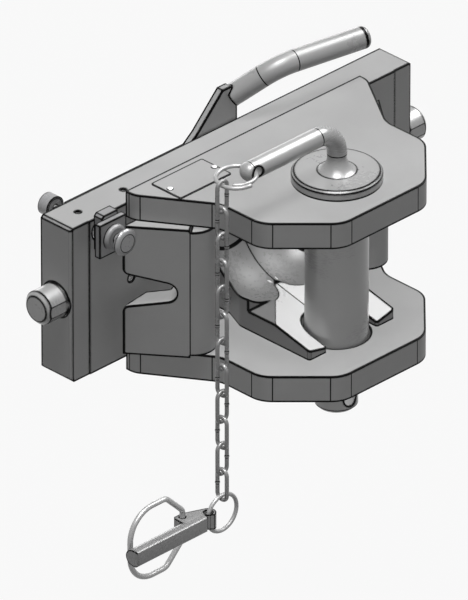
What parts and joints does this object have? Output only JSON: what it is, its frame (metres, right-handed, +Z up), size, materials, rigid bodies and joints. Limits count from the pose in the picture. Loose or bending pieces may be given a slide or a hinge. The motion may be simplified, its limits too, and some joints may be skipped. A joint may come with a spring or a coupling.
{
  "type": "clevis tow hitch",
  "caption": "Clevis tow hitch on a ladder-frame carrier plate, with stepped tow pin, chained linch pin, side locking bolts and lever.",
  "frame": {"origin": "on the tow pin's axis, midway between the jaw plates, at the side bolts' height", "axes": "+X to the right seen from the trailer, +Y towards the tractor, +Z up"},
  "size_m": [0.3797, 0.1887, 0.2942],
  "materials": {
    "carrier_paint": "satin grey paint on plate steel",
    "jaw_paint": "satin grey paint on flame-cut plate",
    "cheek_paint": "satin grey paint",
    "guide_cast": "bare casting, blasted",
    "zinc_screws": "zinc plated",
    "nameplate_metal": "bare, satin",
    "rivet_metal": "satin",
    "plunger_steel": "satin",
    "spring_steel": "drawn wire",
    "pin_steel": "turned and greased",
    "knob_steel": "turned",
    "lever_paint": "satin grey paint",
    "tow_pin_steel": "turned, worn between the jaws",
    "ring_zinc": "zinc plated wire",
    "linch_zinc": "zinc plated",
    "chain_zinc": "zinc plated welded links"
  },
  "bodies": {
    "frame": {"carrier_plate": "carrier_paint", "top_jaw_plate": "jaw_paint", "bottom_jaw_plate": "jaw_paint", "left_cheek": "cheek_paint", "right_cheek": "cheek_paint", "guide_casting": "guide_cast", "guide_casting_screws": "zinc_screws", "nameplate": "nameplate_metal", "nameplate_rivets": "rivet_metal", "bolt_guide_screws": "zinc_screws", "lever_pivot_screw": "zinc_screws", "lever_pivot_washer": "zinc_screws", "plunger_bracket": "plunger_steel", "plunger_spacer": "plunger_steel", "plunger_bush": "plunger_steel", "plunger_spring": "spring_steel"},
    "lever": {"lever_cam_plate": "lever_paint", "lever_tube": "lever_paint", "lever_tube_cap": "lever_paint"},
    "left_bolt": {"left_side_bolt": "pin_steel", "left_drive_pin": "pin_steel"},
    "right_bolt": {"right_side_bolt": "pin_steel", "right_drive_pin": "pin_steel"},
    "plunger": {"plunger_rod": "pin_steel", "plunger_knob": "knob_steel", "plunger_rear_cap": "knob_steel"},
    "tow_pin": {"tow_pin": "tow_pin_steel"},
    "upper_ring": {"upper_split_ring": "ring_zinc"},
    "link_01": {"chain_link_01": "chain_zinc"},
    "link_02": {"chain_link_02": "chain_zinc"},
    "link_03": {"chain_link_03": "chain_zinc"},
    "link_04": {"chain_link_04": "chain_zinc"},
    "link_05": {"chain_link_05": "chain_zinc"},
    "link_06": {"chain_link_06": "chain_zinc"},
    "link_07": {"chain_link_07": "chain_zinc"},
    "link_08": {"chain_link_08": "chain_zinc"},
    "link_09": {"chain_link_09": "chain_zinc"},
    "link_10": {"chain_link_10": "chain_zinc"},
    "link_11": {"chain_link_11": "chain_zinc"},
    "link_12": {"chain_link_12": "chain_zinc"},
    "lower_ring": {"lower_ring": "ring_zinc"},
    "linch_pin": {"linch_pin": "linch_zinc"},
    "linch_loop": {"linch_loop": "spring_steel"}
  },
  "joints": [
    {"name": "lever_turn", "type": "hinge", "parent": "frame", "child": "lever", "pos_m": [0, 0.124, 0], "axis": [0, -1, 0], "range_deg": [0, 40]},
    {"name": "left_bolt_slide", "type": "slide", "parent": "frame", "child": "left_bolt", "axis": [1, 0, 0], "range_m": [0, 0.02]},
    {"name": "right_bolt_slide", "type": "slide", "parent": "frame", "child": "right_bolt", "axis": [-1, 0, 0], "range_m": [0, 0.02]},
    {"name": "plunger_slide", "type": "slide", "parent": "frame", "child": "plunger", "axis": [0, -1, 0], "range_m": [-0.0042, 0]},
    {"name": "tow_pin_lift", "type": "slide", "parent": "frame", "child": "tow_pin", "axis": [0, 0, 1], "range_m": [0, 0.18]},
    {"name": "upper_ring_swing", "type": "hinge", "parent": "tow_pin", "child": "upper_ring", "pos_m": [-0.082, 0, 0.11], "axis": [0, 1, 0], "range_deg": [0, 40]},
    {"name": "chain_01_swing", "type": "hinge", "parent": "upper_ring", "child": "link_01", "pos_m": [-0.10936, 0.001, 0.10857], "axis": [0, 1, 0], "range_deg": [-2, 12]},
    {"name": "chain_02_swing", "type": "hinge", "parent": "link_01", "child": "link_02", "pos_m": [-0.10936, 0.001, 0.08807], "axis": [1, 0, 0], "range_deg": [-8, 8]},
    {"name": "chain_03_swing", "type": "hinge", "parent": "link_02", "child": "link_03", "pos_m": [-0.10936, 0.001, 0.06757], "axis": [0, 1, 0], "range_deg": [-2, 12]},
    {"name": "chain_04_swing", "type": "hinge", "parent": "link_03", "child": "link_04", "pos_m": [-0.10936, 0.001, 0.04707], "axis": [1, 0, 0], "range_deg": [-8, 8]},
    {"name": "chain_05_swing", "type": "hinge", "parent": "link_04", "child": "link_05", "pos_m": [-0.10936, 0.001, 0.02657], "axis": [0, 1, 0], "range_deg": [-2, 12]},
    {"name": "chain_06_swing", "type": "hinge", "parent": "link_05", "child": "link_06", "pos_m": [-0.10936, 0.001, 0.00607], "axis": [1, 0, 0], "range_deg": [-8, 8]},
    {"name": "chain_07_swing", "type": "hinge", "parent": "link_06", "child": "link_07", "pos_m": [-0.10936, 0.001, -0.01443], "axis": [0, 1, 0], "range_deg": [-2, 12]},
    {"name": "chain_08_swing", "type": "hinge", "parent": "link_07", "child": "link_08", "pos_m": [-0.10936, 0.001, -0.03493], "axis": [1, 0, 0], "range_deg": [-8, 8]},
    {"name": "chain_09_swing", "type": "hinge", "parent": "link_08", "child": "link_09", "pos_m": [-0.10936, 0.001, -0.05543], "axis": [0, 1, 0], "range_deg": [-2, 12]},
    {"name": "chain_10_swing", "type": "hinge", "parent": "link_09", "child": "link_10", "pos_m": [-0.10936, 0.001, -0.07593], "axis": [1, 0, 0], "range_deg": [-8, 8]},
    {"name": "chain_11_swing", "type": "hinge", "parent": "link_10", "child": "link_11", "pos_m": [-0.10936, 0.001, -0.09643], "axis": [0, 1, 0], "range_deg": [-2, 12]},
    {"name": "chain_12_swing", "type": "hinge", "parent": "link_11", "child": "link_12", "pos_m": [-0.10936, 0.001, -0.11693], "axis": [1, 0, 0], "range_deg": [-8, 8]},
    {"name": "lower_ring_swing", "type": "hinge", "parent": "link_12", "child": "lower_ring", "pos_m": [-0.10936, 0.001, -0.13743], "axis": [0, 1, 0], "range_deg": [-60, 20]},
    {"name": "linch_pin_swing", "type": "hinge", "parent": "lower_ring", "child": "linch_pin", "pos_m": [-0.10936, 0.001, -0.14788], "axis": [0, -1, 0], "range_deg": [0, 75]},
    {"name": "linch_loop_turn", "type": "hinge", "parent": "linch_pin", "child": "linch_loop", "pos_m": [-0.13971, 0.0089, -0.14788], "axis": [0, 0, -1], "range_deg": [0, 150]}
  ],
  "couplings": [
    {"joint": "left_bolt_slide", "follows": "lever_turn", "m_per_rad": 0.028647},
    {"joint": "right_bolt_slide", "follows": "lever_turn", "m_per_rad": 0.028647}
  ]
}
